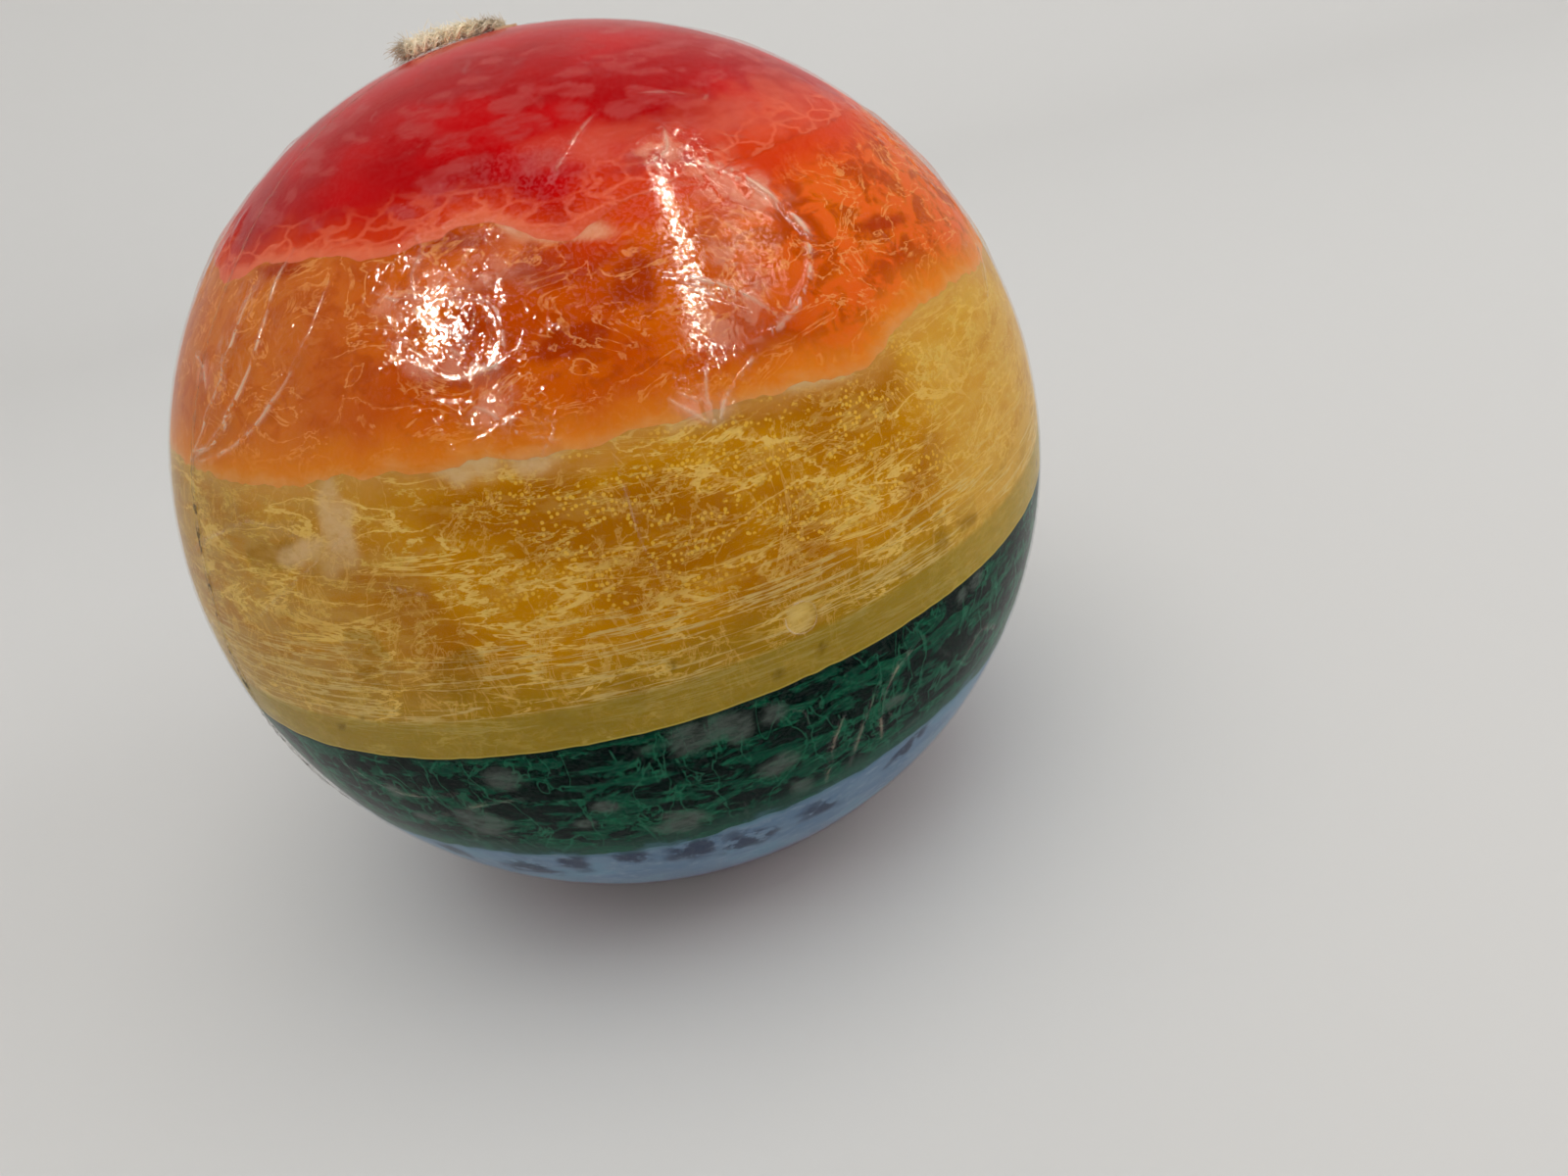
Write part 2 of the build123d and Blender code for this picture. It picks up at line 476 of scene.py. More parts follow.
def orange_wax():
    s = Shader("orange_wax")
    above, below = s.attribute("above"), s.attribute("below")
    clouds = s.noise(8.0, (1.3, 1.3, 0.9), detail=2.0)
    mottle = s.noise(3.0, (1.3, 1.3, 0.8), detail=5.0, rough=0.6, twist=0.6, shift=2.0)
    fine = s.noise(1.1, (1.6, 1.6, 0.9), detail=4.0, rough=0.65)
    threads = s.contours(s.noise(5.0, (1.4, 1.4, 0.8), detail=5.0, rough=0.6, twist=1.0, shift=7.0), 4, 0.09)
    ragged_low = s.maths("ADD", above, s.spread(mottle, 4.0))
    ragged_high = s.maths("ADD", below, s.spread(mottle, 5.0))
    base = s.mix(s.step(clouds, 0.38, 0.62), "#c84c00", "#da6602")
    base = s.paint(base, [
        (s.step(mottle, 0.5, 0.4), 0.5, "#b03c00"),
        # Painted sheen: the left side, towards the limb, is laid paler and duller, as the film's reflection
        # looks there.
        (s.attribute("left_limb_sheen"), s.step(mottle, 0.3, 0.6, 0.4, 0.75), "#d27c34"),
        # Painted light: the right side, towards the limb, gets brighter and more contrasty mottle.
        (s.attribute("bright"), s.step(mottle, 0.44, 0.56), 0.9, "#e8651c"),
        (s.attribute("bright"), s.step(mottle, 0.44, 0.36), 0.5, "#b84800"),
        (s.attribute("dark"), 0.85, "#a83000"),
        (threads, s.step(clouds, 0.32, 0.48), s.step(fine, 0.36, 0.54, 0.25, 1.0), 0.7, "#eea25a"),
        (s.step(fine, 0.62, 0.72), 0.3, "#e08a50"),
        (s.step(ragged_low, 6.0, 0.6), 0.85, "#e88a24"),
        (s.step(ragged_low, 1.8, -0.6), 0.5, "#f0b070"),
        (s.step(ragged_high, 7.0, 0.5), s.attribute("bleed"), 0.95, "#d83c0c"),
        (s.attribute("cream"), s.step(fine, 0.2, 0.6, 0.6, 0.95), "#e69c74"),
    ])
    return wax_surface(s, base, 3.0, (1.0, 0.42, 0.16))


def yellow_wax():
    s = Shader("yellow_wax")
    above, below = s.attribute("above"), s.attribute("below")
    clouds = s.noise(9.0, (1.4, 1.4, 0.8), detail=2.0)
    fine = s.noise(0.9, (1.6, 1.6, 0.8), detail=4.0, rough=0.65)
    drift = s.noise(3.4, (2.0, 2.0, 0.6), detail=5.0, rough=0.6, shift=8.0)
    flow = s.noise(6.5, (2.4, 2.4, 0.62), (0, 4, 0), detail=6.0, rough=0.58, twist=0.5, shift=3.0)
    rivers = s.contours(flow, 4, 0.075)
    banks = s.times(s.contours(flow, 4, 0.28), s.step(fine, 0.52, 0.60))
    braids = s.contours(s.noise(4.0, (2.6, 2.6, 0.55), (0, -5, 0), detail=6.0, rough=0.6, twist=0.6,
                                shift=5.0), 3, 0.06)
    web = s.contours(s.noise(8.0, (2.2, 2.2, 0.7), (0, 6, 0), detail=8.0, rough=0.64, twist=0.4, shift=17.0),
                     7, 0.07)
    splits = s.contours(s.noise(7.0, (0.9, 0.9, 1.4), (0, 25, 0), detail=6.0, rough=0.6, twist=1.0,
                                shift=13.0), 2, 0.03)
    bubbles = s.step(s.cells(0.62, edge=False), 0.40, 0.28)
    rules = s.contours(s.noise(7.0, (7.0, 7.0, 0.36), detail=5.0, rough=0.6, shift=6.0), 6, 0.11)
    ragged_high = s.maths("ADD", below, s.spread(drift, 5.0))
    low_part = s.step(s.maths("ADD", above, s.times(clouds, 6.0)), 17.0, 9.0)
    patchy = s.step(clouds, 0.40, 0.56, 0.25, 1.0)
    base = s.mix(s.step(clouds, 0.38, 0.62), "#b47000", "#cc8c04")
    base = s.paint(base, [
        (low_part, 0.8, "#aa861c"),
        # Painted sheen: the left side, towards the limb, is laid paler and duller, as the film's reflection
        # looks there.
        (s.attribute("left_limb_sheen"), s.step(drift, 0.34, 0.60, 0.35, 0.85), "#c09850"),
        # Painted light: the right side, towards the limb, is laid paler, and its rivers and braids fainter.
        (s.attribute("pale"), s.step(drift, 0.34, 0.6, 0.5, 0.95), "#d8a848"),
        (s.step(drift, 0.55, 0.63), 0.35, "#d0a044"),
        (s.attribute("lively"), s.step(drift, 0.45, 0.52), bubbles, 0.9, "#e8ba40"),
        (banks, patchy, 0.55, "#dcae44"),
        (rivers, patchy, s.step(fine, 0.3, 0.5, 0.7, 1.0), s.step(s.attribute("pale"), 0.0, 1.0, 0.9, 0.45),
         "#ecc86c"),
        (braids, s.step(fine, 0.35, 0.55, 0.2, 1.0), s.step(s.attribute("pale"), 0.0, 1.0, 0.75, 0.45),
         "#e8c064"),
        (web, s.step(drift, 0.36, 0.50, 0.3, 1.0), s.step(fine, 0.35, 0.55, 0.6, 1.0), 0.75, "#dcb95c"),
        (splits, 0.5, "#e0b45c"),
        (rules, s.attribute("ruled"), s.step(fine, 0.3, 0.5, 0.3, 1.0), 0.8, "#dcc078"),
        (s.attribute("wet"), s.step(drift, 0.40, 0.56, 0.5, 0.15), "#8a6410"),
        (s.step(above, 5.6, 4.6), s.step(fine, 0.3, 0.7, 0.55, 0.8), "#a08a34"),
        (s.attribute("dots"), 0.6, "#6e5610"),
        (s.attribute("vent"), s.step(fine, 0.3, 0.6, 0.5, 0.85), "#d2b268"),
        (s.step(ragged_high, 3.0, -0.5), 0.6, "#d49a50"),
        (s.attribute("cream"), s.step(fine, 0.25, 0.6, 0.5, 0.9), "#dcb884"),
        (s.step(above, 0.30, 0.1), 0.7, "#d8bc54"),
    ])
    return wax_surface(s, base, 2.6, (1.0, 0.62, 0.12))


def green_wax():
    s = Shader("green_wax")
    above, below = s.attribute("above"), s.attribute("below")
    blots = s.noise(2.9, (1.8, 1.8, 0.75), (0, -8, 0), detail=5.0, rough=0.62, twist=0.5)
    strands = s.contours(s.noise(5.0, (1.8, 1.8, 0.55), (0, 12, 0), detail=6.0, rough=0.6, twist=1.0,
                                 shift=3.0), 4, 0.07)
    upright = s.contours(s.noise(6.0, (0.7, 0.7, 1.7), (0, -20, 0), detail=4.0, twist=0.7, shift=9.0), 2,
                         0.035)
    fine = s.noise(0.9, (1.8, 1.8, 0.7), detail=4.0, rough=0.65)
    ragged_low = s.maths("ADD", above, s.spread(blots, 6.0))
    base = s.mix(s.step(fine, 0.3, 0.65), "#06382a", "#0d4e38")
    base = s.paint(base, [
        (strands, s.step(fine, 0.35, 0.55, 0.3, 1.0), 0.7, "#1f7350"),
        (s.step(blots, 0.535, 0.475), s.step(fine, 0.75, 0.5, 0.7, 1.0), 0.95, "#030a0b"),
        (upright, 0.5, "#2a7a5a"),
        (s.step(fine, 0.62, 0.70), s.step(blots, 0.47, 0.54), 0.4, "#2f8c60"),
        (s.attribute("ovals"), s.step(fine, 0.3, 0.62, 0.35, 0.8), "#5b655e"),
        (s.step(ragged_low, 4.5, 1.2), 0.6, "#2a5648"),
        (s.step(ragged_low, 0.8, -0.6), 0.6, "#4c7480"),
        (s.step(below, 0.8, 0.1), 0.8, "#0c1f1a"),
    ])
    return wax_surface(s, base, 1.0, (0.4, 1.0, 0.6), rough=0.34)


def blue_wax():
    s = Shader("blue_wax")
    above, below = s.attribute("above"), s.attribute("below")
    clouds = s.noise(6.0, (1.5, 1.5, 0.8), detail=3.0)
    fine = s.noise(1.1, (1.4, 1.4, 0.8), detail=4.0, rough=0.6)
    broken = s.noise(2.8, (1.0, 1.0, 1.2), detail=5.0, rough=0.6, shift=3.0)
    base = s.mix(s.step(clouds, 0.35, 0.65), "#64809c", "#7a92a8")
    base = s.paint(base, [
        (s.step(fine, 0.52, 0.68), 0.35, "#9aabbc"),
        (s.step(clouds, 0.5, 0.62), 0.35, "#4f8aa4"),
        (s.attribute("brushed"), s.step(broken, 0.38, 0.52), 0.85, "#262c44"),
        (s.step(above, 5.0, 0.5), 0.6, "#7c7492"),
        (s.step(below, 1.4, 0.2), 0.4, "#3c6e74"),
    ])
    return wax_surface(s, base, 2.2, (0.4, 0.6, 1.0))


def violet_wax():
    s = Shader("violet_wax")
    clouds = s.noise(6.0, (1.5, 1.5, 0.8), detail=3.0)
    fine = s.noise(1.1, (1.4, 1.4, 0.8), detail=4.0, rough=0.6)
    base = s.mix(s.step(clouds, 0.35, 0.65), "#5b2454", "#743468")
    base = s.paint(base, [
        (s.step(fine, 0.54, 0.7), 0.4, "#9a6490"),
        (s.step(clouds, 0.5, 0.42), 0.6, "#3c1438"),
    ])
    return wax_surface(s, base, 2.0, (0.7, 0.25, 0.8))


# ---------------------------------------------------------------- wax pieces

AROUND = 720
WAX_ROW = 0.55  # millimetres between the rows of a band's outer surface


def wax_piece(name, lower, upper, marks, material):
    """One pour as a closed mesh: up its outer band, in over its top, down the wick and out over its base.
    lower and upper name the pours whose base lines bound it, or are None at the foot and at the wick."""
    az = np.linspace(-180, 180, AROUND, endpoint=False)
    node_low, node_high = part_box(name)
    top_limit = math.degrees(math.acos(wick_radius / ball_radius))
    foot_latitude = -math.degrees(math.acos(foot_radius / ball_radius))
    low = edge_latitude(lower, az) if lower else np.full_like(az, foot_latitude)
    high = edge_latitude(upper, az) if upper else np.full_like(az, top_limit)
    rows = int(np.radians((high - low).max()) * ball_radius / MM / WAX_ROW)
    share = np.linspace(0, 1, rows)[:, None]
    latitude = low + (high - low) * share
    azimuth = np.broadcast_to(az, latitude.shape)
    unit = direction(azimuth, latitude)
    outside = unit * ball_radius / MM
    dents = noise_at(outside, 9.0, 71) * 0.10 + noise_at(outside, 2.5, 72) * 0.05
    fade = smooth(share, 0, 0.06) * smooth(share, 1, 0.94)
    band = np.array(centre) + unit * (ball_radius - dents * fade * MM)[..., None]
    inward = (0.75, 0.4, 0.15)
    heights = {"top": band[-1, :, 2], "base": band[0, :, 2]}
    level = {"top": node_high.z, "base": node_low.z}

    def cap(side, rim, shares):
        """Rings from the rim in to the wick, that level out on the way."""
        rings = []
        for part in shares:
            reach = wick_radius + (np.linalg.norm(rim[:, :2], axis=1) - wick_radius) * part
            z = level[side] + (heights[side] - level[side]) * part**2
            flat = direction(az, np.zeros_like(az))
            rings.append(np.stack([flat[:, 0] * reach, flat[:, 1] * reach, z], -1))
        return rings

    top = cap("top", band[-1], (*inward, 0.0)) if upper else []
    if lower:
        base = cap("base", band[0], (0.0, *inward[::-1]))
    else:
        base = recess_rings(az)
    points = np.concatenate([band, np.array(top).reshape(-1, AROUND, 3), np.array(base)])
    grids = {"above": (latitude - low) * math.radians(1) * ball_radius / MM}
    grids["below"] = (high - latitude) * math.radians(1) * ball_radius / MM
    if marks:
        grids.update(marks(azimuth, latitude))
    spare = len(points) - rows
    grids = {key: np.vstack([grid, np.repeat(grid[-1:], spare, 0)]) for key, grid in grids.items()}
    piece = grid_mesh(name + "_cast", points, True, True, grids)
    finish(piece, name, material)


def recess_rings(az):
    """The foot from the wick out: up in the sustainer's recess, then down and out to the foot's rim."""
    flat = direction(az, np.zeros_like(az))
    disc_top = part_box("wick_sustainer")[0].z + 0.4 * MM
    wall = disc_radius + 0.15 * MM
    steps = [(wick_radius, disc_top), (wall * 0.6, disc_top), (wall, disc_top), (wall + 0.2 * MM, 0.15 * MM)]
    steps += [(wall + 0.5 * MM, 0.0), ((wall + foot_radius) / 2, 0.0), (foot_radius - 0.5 * MM, 0.0)]
    return [np.stack([flat[:, 0] * r, flat[:, 1] * r, np.full_like(az, z)], -1) for r, z in steps]


def facing(az, middle, low, high):
    """1 round a meridian and 0 away from it, by the cosine of the angle between."""
    return smooth(np.cos(np.radians(az - middle)), low, high)


def red_marks(az, lat):
    rng = np.random.RandomState(23)
    pale = [(-21, 61, 3.4, 1.7, -10), (-14, 59, 2.6, 1.2, 15), (-4, 58, 3.0, 1.3, 8),
            (8, 63.5, 3.2, 1.2, -25), (-13, 55, 3.0, 0.9), (17, 57.5, 2.0, 1.3), (27, 57.5, 3.0, 1.4, -28),
            (24, 65, 2.2, 1.1, -20), (-19, 66.5, 2.6, 0.9, -15), (-45, 57.5, 3.6, 1.3),
            (36, 66, 2.8, 1.4, -20)]
    for k in range(130):
        rise = 50.5 + 25 * rng.rand()
        pale.append((360 * rng.rand(), rise, 1.3 + 1.9 * rng.rand(), 0.6 + 0.8 * rng.rand(),
                     40 * rng.rand() - 30))
    light = [(14, 53, 7, 2.4, -15), (33, 52, 9, 2.6, -10), (48, 53, 8, 4)]
    return {"pale": patches(az, lat, pale, soft=0.22, ragged=1.3, seed=101),
            "light": patches(az, lat, light, soft=0.8, ragged=0.8, seed=103),
            "crisp": facing(az, -30, 0.75, 0.92)}


def orange_marks(az, lat):
    dark = [(0, 41.5, 5, 2.2), (6, 38, 3, 2.5, 30), (-13, 46, 3, 0.9), (-45, 45.8, 4.5, 1.0),
            (-14, 37.5, 2.5, 1.4), (34, 46.5, 4, 1.0), (-2, 34, 3, 1.4, 10), (42, 35, 4, 1.0, -10),
            (150, 40, 6, 2.5, 10), (-140, 36, 6, 2, -20), (90, 42, 5, 2)]
    cream = [(0.0, 44.6, 4.4, 1.0, -12), (-5, 46.0, 2.4, 0.8, -25)]
    return {"dark": patches(az, lat, dark, soft=0.4, ragged=0.8, seed=111),
            "cream": patches(az, lat, cream, soft=0.3, ragged=0.3, seed=113),
            # Painted sheen on the left side, towards the limb.
            "left_limb_sheen": facing(az, -62, 0.70, 0.97),
            # Painted light on the right side, towards the limb.
            "bright": facing(az, 52, 0.80, 0.96),
            "bleed": facing(az, 35, 0.72, 0.92)}


def yellow_marks(az, lat):
    wet = [(-31.5, 7.2, 2.4, 2.6), (-30.6, 6.4, 2.2, 2.4), (-10.5, -2.2, 4.2, 1.8), (-6.4, 0.0, 1.9, 2.4),
           (35.5, -1.4, 2.5, 1.6), (31.5, 3, 1.0, 2.6), (36.4, 3, 2.0, 1.8, 10), (18.6, -2.4, 2.2, 0.8),
           (26.2, 1.5, 1.4, 0.6, 20), (-21.5, 5, 3, 2.0, 35), (-42, 17, 4, 1.5, 10), (100, 5, 4, 3),
           (150, -1, 6, 2), (-100, 3, 5, 2), (-150, 8, 3, 3)]
    dots = [(9, -3.2, 0.5, 0.6), (14, -2.2, 0.5, 0.6), (-1, 1.7, 0.5, 0.5), (-39.5, -2.4, 0.9, 0.4, 25),
            (-35.5, -0.8, 0.5, 0.3), (60, -2, 0.6, 0.5), (130, -3, 0.6, 0.5), (-90, -2, 0.6, 0.6)]
    cream = [(-15.5, 24.6, 3.6, 1.5, -12), (-9, 24.2, 3.2, 1.5, 10), (9.5, 24.6, 2.8, 1.6),
             (21, 24.4, 4.5, 1.4, -8), (-31.5, 20.5, 2.2, 3.4), (-37, 17.8, 3.6, 1.0, 20)]
    vents = [(vent, VENT_LATITUDE, VENT_DEGREES, VENT_DEGREES) for vent in VENTS]
    return {"wet": patches(az, lat, wet, soft=0.10, ragged=0.35, seed=121, power=4),
            "dots": patches(az, lat, dots, soft=0.3, ragged=0.4, seed=123),
            "cream": patches(az, lat, cream, soft=0.5, ragged=0.9, seed=125),
            "vent": patches(az, lat, vents, soft=0.1, ragged=0.0),
            # Painted sheen on the left side, towards the limb.
            "left_limb_sheen": facing(az, -62, 0.72, 0.96),
            # Painted light on the right side, towards the limb.
            "pale": facing(az, 58, 0.88, 0.95),
            "lively": facing(az, 10, 0.85, 0.95) * smooth(lat, 7, 10),
            "ruled": smooth(lat, -5.0, -2.0) * smooth(lat, 11, 6)}


def green_marks(az, lat):
    ovals = [(-28.5, -17.5, 2.7, 3.3), (0, -7.5, 4.2, 2.6), (-22, -9.2, 2.2, 1.6), (-36.5, -17, 1.8, 1.2),
             (7.5, -16, 2.0, 1.5), (-6, -21.8, 2.7, 2.2), (9.8, -21.9, 1.5, 1.6), (-15.8, -18, 1.2, 0.9),
             (-12.5, -15.2, 1.5, 1.0, -20), (23, -15, 1.5, 0.9), (34, -6, 0.9, 1.0), (37, -5.8, 1.2, 0.9),
             (7.5, -8, 1.4, 1.3), (-37.5, -12.5, 1.2, 1.3), (70, -12, 3, 2), (95, -18, 2.5, 2.5),
             (130, -10, 3, 2), (165, -19, 2.5, 2), (-160, -12, 3, 2.4), (-125, -18, 2.6, 2),
             (-90, -9, 2, 2), (-70, -16, 2.4, 1.6)]
    return {"ovals": patches(az, lat, ovals, soft=0.35, ragged=0.9, seed=131)}


def blue_marks(az, lat):
    """Smudged dark blotches just below the green."""
    smudges = [(-13, -27.5, 2.0, 3.0, 10), (-21, -28, 1.6, 3.4), (-6, -29.5, 3.0, 4.0, 20),
               (2, -31, 3.2, 3.0), (13, -30.5, 3.4, 2.0, -40), (8, -24.5, 1.2, 1.8), (-29, -29.5, 3.0, 3.2),
               (27, -27, 2.6, 1.4, 40), (-39, -28, 2.0, 2.6), (70, -30, 3, 2.5), (110, -33, 3, 3),
               (160, -31, 3, 2.4), (-80, -32, 3, 3), (-130, -30, 3, 2.6)]
    return {"brushed": patches(az, lat, smudges, soft=0.5, ragged=0.9, seed=143)}


def make_wax():
    """The six pours from the foot up, each from its own base line to the next one's."""
    pours = [("violet", None, violet_wax), ("blue", blue_marks, blue_wax), ("green", green_marks, green_wax),
             ("yellow", yellow_marks, yellow_wax), ("orange", orange_marks, orange_wax), ("red", red_marks,
                                                                                          red_wax)]
    edges = [None, "blue", "green", "yellow", "orange", "red", None]
    for (name, marks, material), lower, upper in zip(pours, edges, edges[1:]):
        wax_piece(f"{name}_wax_layer", lower, upper, marks, material())


# ---------------------------------------------------------------- shrink film

HEM_LATITUDE = latitude_of(film_hem_z)
EYE_RADIUS = wick_radius + 1.6 * MM
EYE_LATITUDE = math.degrees(math.acos(EYE_RADIUS / ball_radius))

# Folds drawn on the front: half width and height in millimetres, how milky, then the places they run through.
FOLDS = [
    (0.50, 0.40, 0.8,
     [(20, 49.8), (25, 47.2), (28.5, 43), (30.2, 38), (28.5, 34.6), (25, 31.6), (20.5, 29.7), (16, 29.6)]),
    (0.24, 0.18, 0.3, [(21, 48.8), (25.4, 45.8), (28.4, 41), (29.4, 37)]),
    (0.34, 0.26, 0.6, [(9, 38.6), (13, 36.6), (17, 34.4), (20, 31.6), (21, 30)]),
    (0.26, 0.20, 0.5, [(10, 36.4), (14, 34.8), (18, 31.6)]),
    (0.22, 0.16, 0.3, [(9.4, 37.6), (13.4, 35.6), (17.6, 33)]),
    (0.34, 0.30, 0.8, [(5.6, 26.6), (7.6, 24.8), (9.8, 23.4), (12, 25.6), (17, 28.2)]),
    (0.26, 0.22, 0.6, [(9.8, 23.4), (9.6, 26), (11, 28.6)]),
    (0.22, 0.16, 0.4, [(6.4, 27.4), (8.6, 25.6), (10.4, 24.6)]),
    (0.34, 0.26, 0.6, [(14, 49.4), (17.4, 49.8), (19.6, 51.2), (21, 54)]),
    (0.36, 0.26, 0.7, [(20, 49), (21.6, 48.2), (23, 47)]),
    (0.26, 0.16, 0.3, [(0, 50), (4, 53.4), (8, 56), (13, 58.4)]),
    (0.24, 0.14, 0.2, [(22, 59), (27, 58.2), (32, 56.4)]),
    (0.24, 0.14, 0.2, [(32, 55.4), (36, 56.4)]),
    (0.30, 0.30, 0.4,
     [(-18, 40), (-14, 39.9), (-10.6, 38.8), (-9.4, 35.8), (-11, 33.2), (-14, 34.2), (-17, 37.4), (-18, 40)]),
    (0.28, 0.26, 0.5, [(-26, 42.2), (-21, 40.2), (-16, 37.2), (-12, 34.4)]),
    (0.26, 0.24, 0.4, [(-21, 35.2), (-16, 32.6), (-9, 33.8), (-7, 36)]),
    (0.26, 0.24, 0.4, [(-20, 47.6), (-19, 45.4), (-20, 43.2), (-19.6, 40.6)]),
    (0.24, 0.20, 0.3, [(-13.4, 41.6), (-11.4, 44.2), (-13, 45)]),
    (0.24, 0.22, 0.4, [(-18, 31), (-13, 29.4), (-10, 26.8), (-5.6, 25.2)]),
    (0.22, 0.20, 0.3, [(-12, 24), (-10.6, 27), (-9.4, 31)]),
    (0.22, 0.20, 0.4, [(-15, 26.4), (-9, 28.2), (-6, 27)]),
    (0.20, 0.16, 0.3, [(-8, 24.4), (-6.4, 26.2), (-5.4, 28)]),
    (0.34, 0.36, 0.8, [(-58.5, 25), (-51, 28.4), (-45, 35), (-43.4, 43), (-42, 48)]),
    (0.30, 0.30, 0.6, [(-58.5, 25), (-50, 26.6), (-42, 30.4), (-36, 37), (-33, 44)]),
    (0.34, 0.36, 0.9, [(-58.5, 25), (-54, 30), (-50, 37), (-48.4, 44)]),
    (0.30, 0.30, 0.8, [(-58.5, 26), (-52, 27.4), (-47, 31)]),
    (0.34, 0.30, 0.9, [(-62, 36), (-58, 35.4), (-55, 32.6)]),
    (0.26, 0.14, 0.2, [(-60, 15), (-52, 18), (-44, 20.4), (-36, 19)]),
    (0.22, 0.14, 0.2, [(-46, 10), (-38, 15), (-30, 19.6)]),
    (0.20, 0.12, 0.3, [(-27, 14.6), (-24, 13.6), (-22, 13.2)]),
    (0.15, 0.06, 0.2, [(-1, 24), (-0.8, 16), (0, 10)]),
    (0.30, 0.20, 0.4, [(21, -20), (20.6, -14), (22.4, -10), (27, -7.4)]),
    (0.28, 0.16, 0.3, [(13, -23), (14, -16), (15.6, -12.4)]),
    (0.28, 0.16, 0.3, [(16, -22), (18, -15), (20.4, -10)]),
    (0.26, 0.14, 0.3, [(34, -17), (38, -13.6), (43, -16.4)]),
    (0.26, 0.14, 0.2, [(-44, -8), (-36, -12), (-28, -11)]),
    (0.26, 0.14, 0.2, [(-34, -16), (-26, -13), (-20, -12)]),
]


def film_relief(azimuth, latitude):
    """How far the film stands off the wax, in millimetres."""
    points = on_ball(azimuth, latitude)
    lively = lively_at(azimuth, latitude)
    relief = 0.10 + 0.10 * noise_at(points, 12.0, 211) + 0.06 * noise_at(points, 5.0, 212)
    relief = relief + lively * 0.30 * noise_at(points, 3.4, 213)
    return relief * (0.4 + 0.6 * smooth(latitude, 78, 62))


def lively_at(azimuth, latitude):
    """Where the film is most crumpled, from 0 to 1."""
    spots = [(-16, 38, 9, 9, -20), (-11, 28, 6, 5), (10, 26, 6, 3, 20), (-44, 38, 7, 8, 20), (19, 51, 5, 3),
             (75, 35, 9, 12, 30), (112, 10, 6, 14, 10), (150, 48, 10, 7, -20), (-160, 30, 8, 12, 15),
             (-128, 44, 9, 7, -10), (-100, 15, 7, 12), (172, 5, 9, 6, 20), (-78, 48, 8, 6), (95, -12, 9, 5)]
    return 0.05 + 0.95 * patches(azimuth, latitude, spots, soft=0.35, ragged=0.5, seed=201)


def milk_and_painted_glare_at(azimuth, latitude):
    """Where the film looks milky, from 0 to 1: partly where it stands clear of the wax, partly painted
    highlights laid where the lamps' reflections fall.
    """
    # The spots round azimuth 8 to 24 and -23 to -11, and the one at -57, sit where the lamps' highlights
    # fall: painted highlights.
    spots = [(19.2, 36.5, 2.0, 6.0, -8), (24, 44.5, 4.4, 3.6, -30), (16.5, 33, 3.5, 1.3, -25),
             (13.5, 31.5, 2.0, 2.4), (17, 50.5, 2.6, 1.6), (-14, 42.5, 4.5, 2.6), (-57, 34, 2.4, 1.6, -20),
             (8.8, 25, 2.6, 1.4), (-22.5, 41, 3.0, 1.4, 5), (-21.5, 37.5, 1.4, 2.8),
             (-16.5, 33.6, 3.6, 1.5, -18), (-11.5, 29, 2.2, 1.8)]
    return patches(azimuth, latitude, spots, soft=0.6, ragged=1.0, seed=205)


FILM_IOR = 1.19
FILM_ROUGHNESS = 0.10
FRESNEL_SHARE = 0.7  # how much of its Fresnel shine the film shows
HEAD_ON_SHINE = ((FILM_IOR - 1) / (FILM_IOR + 1)) ** 2


